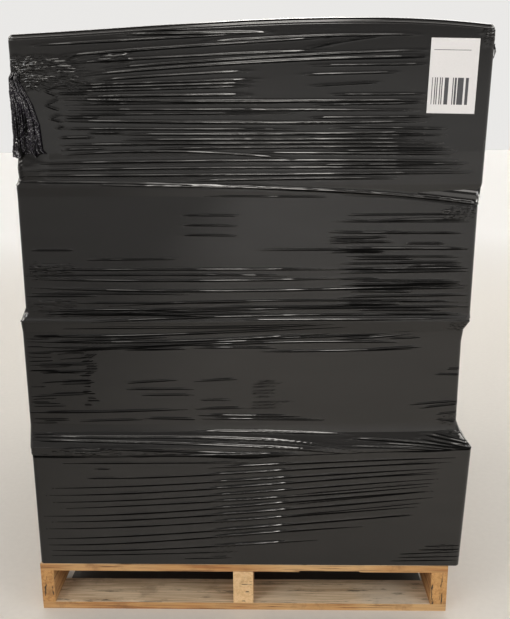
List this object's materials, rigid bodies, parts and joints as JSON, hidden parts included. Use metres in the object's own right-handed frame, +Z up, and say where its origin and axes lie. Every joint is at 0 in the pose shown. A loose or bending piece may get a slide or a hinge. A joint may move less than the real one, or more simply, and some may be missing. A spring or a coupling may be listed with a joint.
{
  "type": "stretch wrapped pallet load",
  "caption": "Wooden pallet carrying four stepped tiers of cartons, wound all round and over the top in black stretch film, with a blank paper label.",
  "frame": {"origin": "on the floor, at the centre of the pallet's footprint: the centre of the middle bottom board's lower face", "axes": "+X along the front face to the right, +Y from the front to the back along the stringers, +Z up"},
  "size_m": [1.0587, 1.2276, 1.4074],
  "materials": {
    "pallet_wood": "rough sawn softwood, weathered",
    "carton": "plain kraft corrugated board",
    "film": "black stretch film, glossy, finely wrinkled",
    "label_paper": "matt white label paper"
  },
  "bodies": {
    "root": {"stringer_left": "pallet_wood", "stringer_centre": "pallet_wood", "stringer_right": "pallet_wood", "deck_board_1": "pallet_wood", "deck_board_2": "pallet_wood", "deck_board_3": "pallet_wood", "deck_board_4": "pallet_wood", "deck_board_5": "pallet_wood", "deck_board_6": "pallet_wood", "deck_board_7": "pallet_wood", "bottom_board_1": "pallet_wood", "bottom_board_2": "pallet_wood", "bottom_board_3": "pallet_wood", "bottom_board_4": "pallet_wood", "bottom_board_5": "pallet_wood", "cartons_tier_1": "carton", "cartons_tier_2": "carton", "cartons_tier_3": "carton", "cartons_tier_4": "carton", "stretch_film": "film", "label": "label_paper"}
  },
  "joints": []
}
